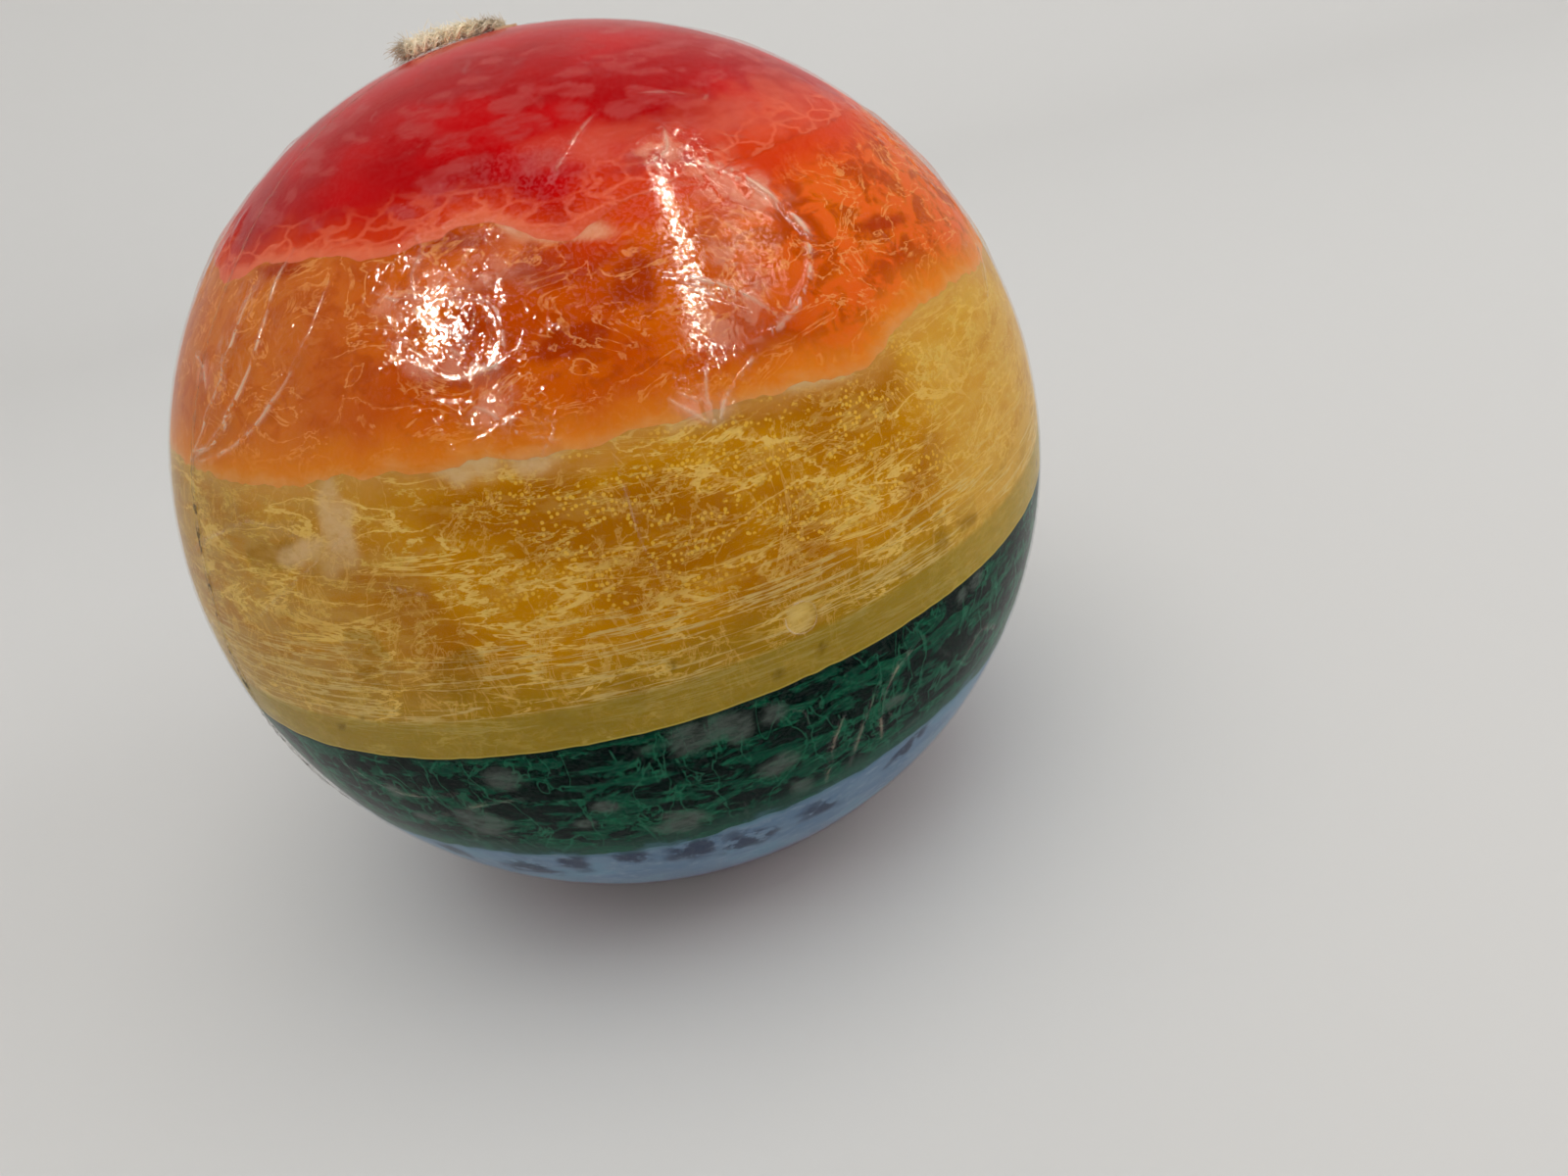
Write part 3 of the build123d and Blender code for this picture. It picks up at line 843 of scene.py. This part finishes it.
def film_material():
    s = Shader("shrink_film")
    grain = s.noise(0.7, detail=2.0, rough=0.6)
    sparkle = s.step(s.noise(0.42, detail=2.0, rough=0.6, shift=9.0), 0.48, 0.55, 0.05, 1.7)
    wet = s.step(s.noise(2.7, detail=6.0, rough=0.62, twist=1.2, shift=12.0), 0.46, 0.53, -0.85, 1.1)
    wet = s.maths("ADD", s.times(wet, s.attribute("lively")), 1.0)
    ripple = s.noise(3.0, (1, 1, 1.6), detail=2.0, twist=0.8, shift=5.0)
    creases = s.cells(4.4, (1.0, 1.0, 1.5), warp=1.2, shift=2.0)
    small = s.cells(1.7, warp=1.0, shift=6.0)
    crumple = s.maths("ADD", creases, s.times(small, 0.3))
    crumple = s.times(crumple, s.step(s.noise(4.5, detail=2.0, shift=15.0), 0.36, 0.62, 0.15, 1.5))
    under = s.bump(s.times(crumple, s.attribute("lively")), 0.42, 1.0)
    under = s.bump(ripple, 0.025, 1.0, under)
    normal = s.bump(grain, 0.004, 1.0, under)
    edge = s.add("Fresnel", {"IOR": FILM_IOR, "Normal": normal}).outputs[0]
    gloss = s.add("BsdfGlossy",
                  {"Roughness": FILM_ROUGHNESS, "Color": (1, 1, 1, 1), "Normal": normal}).outputs[0]
    clear = s.add("BsdfTransparent").outputs[0]
    speckle = s.times(s.maths("SUBTRACT", s.times(sparkle, wet), FRESNEL_SHARE), HEAD_ON_SHINE)
    share = s.maths("ADD", s.times(edge, FRESNEL_SHARE), speckle, clamp=True)
    shine = s.add("MixShader", {0: share, 1: clear, 2: gloss}).outputs[0]
    # The milk turns peach over the painted highlight spots.
    tint = s.mix(s.step(s.attribute("milk_and_painted_glare"), 0.0, 0.4), "#f2dcc0", "#ffb492")
    milk = s.add("BsdfDiffuse", {"Color": tint}).outputs[0]
    cloud = s.step(s.noise(2.8, (1, 1, 1.3), detail=6.0, rough=0.62, twist=0.9, shift=2.0), 0.44, 0.54)
    # Milk over these spots: milky film, and painted highlights where the lamps' reflections fall.
    milk_and_painted_glare = s.times(s.attribute("milk_and_painted_glare"), s.maths("ADD", s.times(cloud, 0.28), 0.08))
    crest = s.times(s.attribute("fold"), s.step(cloud, 0.1, 0.9, 0.05, 1.0), 0.6)
    film = s.add("MixShader", {0: s.maths("ADD", milk_and_painted_glare, crest, clamp=True), 1: shine, 2: milk}).outputs[0]
    s.links.new(film, s.output.inputs["Surface"])
    return s.material


def spaced(first, last, count, busy_from, busy_to, share=3.0):
    """Numbers from first to last, packed closer by share between busy_from and busy_to."""
    fine = np.linspace(first, last, 4000)
    density = 1 + (share - 1) * smooth(fine, busy_from - 8, busy_from) * smooth(fine, busy_to + 8, busy_to)
    total = np.cumsum(density)
    return np.interp(np.linspace(total[0], total[-1], count), total, fine)


PANEL_COLUMNS = 330
PANEL_ROWS = 270
RIM_WIDTH = 0.75  # millimetres inside the vent's edge whose points are drawn out to it


def film_panel(name, first, last, vent, material):
    """One web of the film as a single sheet, from weld to weld and from hem to eye, with its vent hole."""
    columns = spaced(first, last, PANEL_COLUMNS, -40, 38, 2.2)
    rows = spaced(HEM_LATITUDE, EYE_LATITUDE, PANEL_ROWS, -4, 54, 2.2)
    azimuth, latitude = np.meshgrid(columns, rows)
    azimuth = np.remainder(azimuth + 180, 360) - 180
    unit = direction(azimuth, latitude)
    middle = direction(vent, VENT_LATITUDE)
    across = unit - middle
    off = np.linalg.norm(across, axis=-1) * ball_radius / MM
    rim = (off < VENT_RADIUS) & (off > VENT_RADIUS - RIM_WIDTH)
    unit = np.where(rim[..., None], middle + across * (VENT_RADIUS / np.maximum(off, 0.1))[..., None], unit)
    relief = film_relief(azimuth, latitude)
    points = np.array(centre) + unit * (ball_radius + relief * MM)[..., None]
    grids = {"fold": np.zeros_like(relief), "lively": lively_at(azimuth, latitude),
             "milk_and_painted_glare": milk_and_painted_glare_at(azimuth, latitude)}
    piece = grid_mesh(name + "_sheet", points, False, False, grids)
    hole = np.flatnonzero((off <= VENT_RADIUS - RIM_WIDTH).reshape(-1))
    cut = bmesh.new()
    cut.from_mesh(piece.data)
    cut.verts.ensure_lookup_table()
    bmesh.ops.delete(cut, geom=[cut.verts[k] for k in hole], context="VERTS")
    cut.to_mesh(piece.data)
    cut.free()
    finish(piece, name, material)


def even_line(knots, gap=0.3):
    """Points on the unit sphere along a curve drawn on the ball, gap millimetres apart."""
    line = curve_points(knots, 12)
    line = direction(line[:, 0], line[:, 1])
    run = np.concatenate([[0], np.cumsum(np.linalg.norm(np.diff(line, axis=0), axis=1))]) * ball_radius / MM
    at = np.linspace(0, run[-1], max(5, int(run[-1] / gap)))
    line = np.stack([np.interp(at, run, line[:, k]) for k in range(3)], -1)
    return normalised(line)


def fold_ribbon(width, height, milky, knots, seed):
    """One fold as a sharp ridge on the film, tapered at its ends: its points, and how much fold each is."""
    line = even_line(knots)
    count = len(line)
    t = np.linspace(0, 1, count)
    along = np.gradient(line, axis=0)
    side = normalised(np.cross(line, along))
    unrest = noise_at(line * ball_radius / MM, 2.2, 251 + seed % 5)
    taper = np.sin(np.pi * np.clip(t, 0.02, 0.98)) ** 0.6 * (0.45 + 1.1 * unrest)
    rows, folds = [], []
    for u in (-2.2, -1.3, -0.7, -0.32, -0.1, 0.1, 0.32, 0.7, 1.3, 2.2):
        shift = (u * width * (0.5 + 0.5 * taper) + 0.35 * (unrest - 0.5)) * MM / ball_radius
        unit = normalised(line + side * shift[:, None])
        azimuth = np.degrees(np.arctan2(unit[:, 0], -unit[:, 1]))
        latitude = np.degrees(np.arcsin(unit[:, 2]))
        rise = 0.5 * height * taper * (math.exp(-1.5 * abs(u)) - math.exp(-1.5 * 2.2)) - 0.015
        height_off = (film_relief(azimuth, latitude) + rise) * MM
        rows.append(np.array(centre) + unit * (ball_radius + height_off)[:, None])
        folds.append(milky * taper * math.exp(-((u / 0.8) ** 2)))
    return np.array(rows), np.array(folds)


def scattered_folds():
    """Folds round the sides and the back, and hair creases all over, spread by a fixed rule."""
    rng = np.random.RandomState(12)
    folds = []
    for k in range(30):
        az, lat = 62 + 236 * rng.rand(), -38 + 105 * rng.rand()
        lean, rise = 20 * (rng.rand() - 0.5), 22 * (rng.rand() - 0.5)
        middle = (az + lean * 0.5 + 4 * rng.rand(), lat + rise * 0.5 + 3 * rng.rand())
        folds.append((0.26 + 0.1 * rng.rand(), 0.12 + 0.16 * rng.rand(), 0.4,
                      [(az, lat), middle, (az + lean, lat + rise)]))
    for k in range(170):
        az, lat = 360 * rng.rand(), -38 + 112 * rng.rand() ** 0.8
        turn, reach = math.pi * rng.rand(), 1.2 + 3.2 * rng.rand()
        bend = 0.5 * (rng.rand() - 0.5)
        step = (reach * math.cos(turn), reach * math.sin(turn))
        middle = (az + step[0] * 0.5 - step[1] * bend, lat + step[1] * 0.5 + step[0] * bend)
        folds.append((0.12 + 0.06 * rng.rand(), 0.03 + 0.04 * rng.rand(), 0.06,
                      [(az, lat), middle, (az + step[0], lat + step[1])]))
    turn, reach = np.radians(np.linspace(0, 360, 13)), VENT_DEGREES * 1.08
    for vent in VENTS:
        ring = np.stack([vent + reach * np.cos(turn), VENT_LATITUDE + reach * np.sin(turn)], -1)
        folds.append((0.12, 0.12, 0.8, ring.tolist()))
    return folds


def film_folds(material):
    """The folds of each web as one piece of ridges that stand on its sheet."""
    shares = {"film_front_panel": [], "film_back_panel": []}
    for seed, fold in enumerate(FOLDS + scattered_folds()):
        front = (fold[-1][1][0] - WELD_AZIMUTH) % 360 < 180
        shares["film_front_panel" if front else "film_back_panel"].append(fold_ribbon(*fold, seed))
    for name, ribbons in shares.items():
        faces, start = [], 0
        for grid, _ in ribbons:
            index = start + np.arange(grid[..., 0].size).reshape(grid.shape[:2])
            faces += grid_quads(index).tolist()
            start += index.size
        piece = joined_mesh(name + "_folds", [grid.reshape(-1, 3) for grid, _ in ribbons], faces)
        store(piece.data, "fold", np.concatenate([amount.reshape(-1) for _, amount in ribbons]))
        finish(piece, name, material)


def make_film():
    material = film_material()
    film_panel("film_front_panel", WELD_AZIMUTH, WELD_AZIMUTH + 180, VENT_AZIMUTH, material)
    film_panel("film_back_panel", WELD_AZIMUTH + 180, WELD_AZIMUTH + 360, BACK_VENT_AZIMUTH, material)
    film_folds(material)


# ---------------------------------------------------------------- wick


def tube_mesh(name, lines, radii, sides=5):
    """Many thin round threads in one mesh, each from an array of points and the radius at each of them."""
    corners, faces, start = [], [], 0
    turns = np.linspace(0, 2 * np.pi, sides, endpoint=False)
    for line, radius in zip(lines, radii):
        along = normalised(np.gradient(line, axis=0))
        side = normalised(np.cross(along, (0.31, 0.87, 0.38)))
        third = np.cross(along, side)
        ring = side[:, None] * np.cos(turns)[None, :, None] + third[:, None] * np.sin(turns)[None, :, None]
        corners.append((line[:, None] + ring * np.asarray(radius).reshape(-1, 1, 1)).reshape(-1, 3))
        index = start + np.arange(len(line) * sides).reshape(-1, sides)
        faces += grid_quads(index, wrap_columns=True).tolist() + [index[0][::-1].tolist(), index[-1].tolist()]
        start += index.size
    return joined_mesh(name, corners, faces)


WICK_ROUTE = [(0.0, -2.0), (0.0, -0.6), (-0.2, 0.15), (-1.2, 0.52), (-3.2, 0.60), (-5.6, 0.60), (-7.8, 0.40),
              (-9.8, 0.14), (-11.6, -0.14), (-12.9, -0.42)]


def wick_line(count):
    """The wick's middle line: out of the wax at the pole, over to -X and down along the film.
    WICK_ROUTE gives its places in millimetres, across and above the pole."""
    knots = np.array([WICK_ROUTE[0], *WICK_ROUTE, WICK_ROUTE[-1]])
    t = np.linspace(0, len(WICK_ROUTE) - 1.001, count)
    k, part = t.astype(int), (t % 1)[:, None]
    flat = spline(*(knots[k + n] for n in range(4)), part)
    top = centre_z + ball_radius
    return np.stack([flat[:, 0] * MM, np.zeros(count), top + flat[:, 1] * MM], -1)


def wick_frame(line):
    """Unit vectors along the line, across it and up from it, at each of its points."""
    along = normalised(np.gradient(line, axis=0))
    across = np.tile((0.0, 1.0, 0.0), (len(line), 1))
    return along, across, np.cross(along, across) * -1


YARNS = 16  # in each strand of the braid
FIBRES = 1500


def wick_braid(rng):
    """Three strands plaited flat, each a loose bundle of yarns, that swell and open towards the tip."""
    count = 150
    line = wick_line(count)
    _, across, up = wick_frame(line)
    t = np.linspace(0, 1, count)
    swell = 0.46 + 0.60 * smooth(t, 0.2, 0.55) + 0.16 * smooth(t, 0.72, 1.0)
    lines, radii = [], []
    for strand in range(3):
        phase = 2 * np.pi * (t * 4.4 + strand / 3)
        middle = np.stack([0.68 * np.sin(phase), 0.38 * np.sin(2 * phase)], -1) * swell[:, None]
        for yarn in range(YARNS):
            angle = 2 * np.pi * (yarn * 0.618 + t * 2.2)
            reach = 0.52 * math.sqrt((yarn + 0.6) / YARNS) * swell
            shake = 0.06 * np.sin(t * (18 + 5 * rng.rand()) + 6 * rng.rand())
            x = middle[:, 0] + reach * np.cos(angle) * 1.05 + shake
            y = (middle[:, 1] + reach * np.sin(angle)) * 0.85 + shake
            end = int(count * (1 - 0.10 * rng.rand() ** 2))
            points = line + (across * x[:, None] + up * y[:, None]) * MM
            lines.append(points[:end])
            radii.append(np.full(end,
                                 (0.11 + 0.03 * rng.rand()) * MM) * (1 - 0.5 * smooth(t[:end], 0.9, 1.0)))
    return lines, radii


def wick_fuzz(rng):
    """Loose fibres that stand off the braid, more of them and longer at the frayed tip."""
    line = wick_line(200)
    _, across, up = wick_frame(line)
    lines, radii = [], []
    for k in range(FIBRES):
        t = 0.2 + 0.8 * rng.rand() ** 0.75
        at = int(t * 199)
        turn = 2 * np.pi * rng.rand()
        out = across[at] * math.cos(turn) * 1.12 + up[at] * math.sin(turn) * 0.92
        if out @ up[at] < -0.85:
            continue
        base = line[at] + out * (0.72 + 0.3 * rng.rand()) * (0.5 + 0.5 * smooth(t, 0.2, 0.55)) * MM
        length = (0.6 + 0.9 * rng.rand() * (0.4 + t)) * MM
        ahead = line[min(at + 4, 199)] - line[max(at - 4, 0)]
        ahead /= np.linalg.norm(ahead)
        lean = ahead * (rng.rand() * 1.6 - 0.45) + out * 0.55 + rng.randn(3) * 0.35
        lean /= np.linalg.norm(lean)
        bend = rng.randn(3) * 0.6 + ahead * 0.3 - out * 0.8
        s = np.linspace(0, 1, 7)[:, None]
        points = base + lean * length * s + bend * length * 0.5 * s**2
        away = points - np.array(centre)
        distance = np.linalg.norm(away, axis=1)
        floor = ball_radius + 0.15 * MM
        points = np.array(centre) + away * (np.maximum(distance, floor) / distance)[:, None]
        lines.append(points)
        radii.append(np.linspace(0.045, 0.02, 7) * MM)
    return lines, radii


def cotton_material(name, light, shade):
    s = Shader(name)
    fine = s.noise(0.35, detail=3.0)
    patch = s.noise(2.6, detail=3.0, rough=0.6, shift=4.0)
    base = s.mix(s.step(patch, 0.42, 0.60), light, shade)
    base = s.paint(base, [
        (s.step(fine, 0.5, 0.72), 0.45, "#f0dcb8"),
        # Darker towards the wick's frayed tip and towards its root.
        (s.attribute("darker_ends"), s.step(fine, 0.2, 0.7, 0.5, 0.95), "#8f7860"),
    ])
    return s.surface(Base_Color=base, Roughness=s.step(fine, 0.3, 0.7, 0.8, 0.95), Sheen_Weight=0.35,
                     Sheen_Roughness=0.4, Subsurface_Weight=0.2, Subsurface_Radius=(1.0, 0.8, 0.6),
                     Subsurface_Scale=0.4 * MM, Normal=s.bump(fine, 0.05, 0.6))


def make_wick():
    """The braided wick's free end and its fuzz."""
    rng = np.random.RandomState(7)
    for name, made, tones in (("wick_braid", wick_braid(rng), ("#f6e8c8", "#e2d0a8")),
                              ("wick_fuzz", wick_fuzz(rng), ("#f8ecd0", "#e8d8b4"))):
        piece = tube_mesh(name, *made, sides=6 if name == "wick_braid" else 4)
        far = np.array([v.co.x for v in piece.data.vertices]) / MM
        # Darker over the tip and near the root of the wick.
        darker_ends = np.maximum(smooth(far, -11.2, -12.8), smooth(far, -4.8, -2.2) * 0.75)
        store(piece.data, "darker_ends", darker_ends)
        piece.data.materials.append(cotton_material(name + "_cotton", *tones))
        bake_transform(piece)
        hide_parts("wick_stub")


# ---------------------------------------------------------------- film welds and the CAD pieces that show


def weld_azimuth_at(latitude, middle):
    """The weld wanders a little to each side of its meridian as the film shrinks."""
    return middle + 1.6 * np.sin(np.radians(latitude * 2.6 + 40)) + 0.5 * np.sin(np.radians(latitude * 9))


def weld_material():
    s = Shader("film_weld")
    along = s.noise(0.7, (1, 1, 1.6), detail=4.0, rough=0.7)
    specks = s.step(s.noise(0.8, (1, 1, 2.2), detail=3.0, shift=4.0), 0.60, 0.68)
    base = s.mix(s.step(along, 0.4, 0.6), "#b9ab90", "#8d8169")
    base = s.mix(specks, base, "#3a342c")
    solid = s.maths("MAXIMUM", s.step(along, 0.35, 0.65, 0.05, 0.3), s.times(specks, 0.7))
    return s.surface(Base_Color=base, Roughness=s.step(along, 0.3, 0.7, 0.3, 0.5), IOR=1.2, Alpha=solid,
                     Normal=s.bump(along, 0.08, 0.8))


def film_weld(name, middle, material):
    """The fused bead: a thin uneven ridge over the edge where the two webs meet."""
    latitude = np.linspace(HEM_LATITUDE, EYE_LATITUDE, 900)
    profile = [(-0.30, 0.0), (-0.18, 0.10), (-0.07, 0.2), (0.05, 0.22), (0.16, 0.12), (0.30, 0.0)]
    rough = noise_at(on_ball(np.full_like(latitude, middle), latitude), 0.9, 301)
    rows = []
    for across, height in profile:
        shift = across * (0.6 + 0.8 * rough) * MM / (ball_radius * np.cos(np.radians(latitude)))
        azimuth = weld_azimuth_at(latitude, middle) + np.degrees(shift)
        relief = film_relief(azimuth, latitude)
        stand = relief + height * (0.5 + 0.9 * rough) * (0.25 + 0.75 * smooth(latitude, 34, 20))
        rows.append(np.array(centre) + direction(azimuth, latitude) * (ball_radius + stand * MM)[:, None])
    piece = grid_mesh(name + "_bead", np.array(rows[::-1]), False, False)
    finish(piece, name, material)


def make_welds():
    material = weld_material()
    film_weld("film_left_weld", WELD_AZIMUTH, material)
    film_weld("film_right_weld", WELD_AZIMUTH + 180, material)


def finish_cad_pieces():
    """Materials for the CAD nodes that show as they are: the wick's core and its steel tab."""
    s = Shader("tinned_steel")
    drawn = s.noise(1.2, detail=5.0, rough=0.7)
    spots = s.step(s.noise(3.0, detail=3.0, shift=2.0), 0.55, 0.7)
    steel = s.surface(Base_Color=s.mix(spots, "#b9bab6", "#8c8a84"), Metallic=1.0,
                      Roughness=s.step(drawn, 0.3, 0.7, 0.24, 0.42), Normal=s.bump(drawn, 0.02, 0.5))
    cotton = cotton_material("wick_core_cotton", "#dcc498", "#c4a980")
    for node, material in (("wick_sustainer", steel), ("wick_core", cotton)):
        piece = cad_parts[node]
        piece.data.materials.clear()
        piece.data.materials.append(material)


# ---------------------------------------------------------------- stage


def floor_material():
    s = Shader("floor_paint")
    return s.surface(Base_Color="#d9d8d6", Roughness=0.5, Specular_IOR_Level=0.0)


# The stage, in metres.
FLOOR_REACH = 5.0
SWEEP_START = 0.5
SWEEP_RADIUS = 0.3
WALL_TOP = 1.4
LAMP_REACH = 0.9  # from the ball to the lamps for shine

# Each lamp for shine: the places on the ball that mirror its two ends, its width in metres and its radiance.
SHINE_LAMPS = {
    "strip_lamp": ((16, 49.5), (10.6, 29), 0.009, 700),
    "window_left": ((-17.5, 43), (-15, 33), 0.17, 200),
    "window_right": ((25, 46), (20, 33), 0.2, 12),
}


def make_stage(camera):
    """A pale floor that sweeps up into a wall well behind the ball, and the lamps."""
    profile = [(-FLOOR_REACH, 0.0), (-1.2, 0.0), (-0.4, 0.0), (0.3, 0.0)]
    for k in range(13):
        turn = math.radians(90 * k / 12)
        profile.append((SWEEP_START + SWEEP_RADIUS * math.sin(turn), SWEEP_RADIUS * (1 - math.cos(turn))))
    profile.append((SWEEP_START + SWEEP_RADIUS, WALL_TOP))
    across = np.linspace(-FLOOR_REACH, FLOOR_REACH, 25)
    points = np.array([[(x, y, z) for x in across] for y, z in profile])
    floor = grid_mesh("floor", points, False, False)
    floor.data.materials.append(floor_material())
    for name, (first, last, width, radiance) in SHINE_LAMPS.items():
        ends = [mirrored(camera, *end, LAMP_REACH) for end in (first, last)]
        area_light(name, *ends, width, radiance, shine_only=True)
    fill = area_light("window_right_soft", Vector((1.25, -0.8, 0.75)), Vector((1.25, 0.2, 0.75)), 0.9, 1.5)
    fill.visible_glossy = False
    area_light("ceiling", Vector((-0.7, -0.25, 1.3)), Vector((0.7, -0.25, 1.3)), 1.2, 1.45)
    bpy.context.scene.world = make_world()
    bpy.context.scene.view_settings.view_transform = "Standard"


def make_world():
    """A room that is bright above and behind the ball, and dim behind the camera."""
    world = bpy.data.worlds.new("room")
    world.use_nodes = True
    nodes, links = world.node_tree.nodes, world.node_tree.links
    where = nodes.new("ShaderNodeTexCoord")
    towards = nodes.new("ShaderNodeVectorMath")
    towards.operation = "DOT_PRODUCT"
    towards.inputs[1].default_value = (0.0, 0.72, 0.69)
    links.new(where.outputs["Generated"], towards.inputs[0])
    level = nodes.new("ShaderNodeMapRange")
    level.interpolation_type = "SMOOTHSTEP"
    for key, number in (("From Min", -0.35), ("From Max", 0.85), ("To Min", 0.62), ("To Max", 0.42)):
        level.inputs[key].default_value = number
    links.new(towards.outputs["Value"], level.inputs["Value"])
    background = nodes["Background"]
    background.inputs["Color"].default_value = (1.0, 0.99, 0.97, 1)
    links.new(level.outputs["Result"], background.inputs["Strength"])
    return world


# ---------------------------------------------------------------- everything

camera = make_camera()
make_wax()
make_film()
make_welds()
make_wick()
finish_cad_pieces()
make_stage(camera)
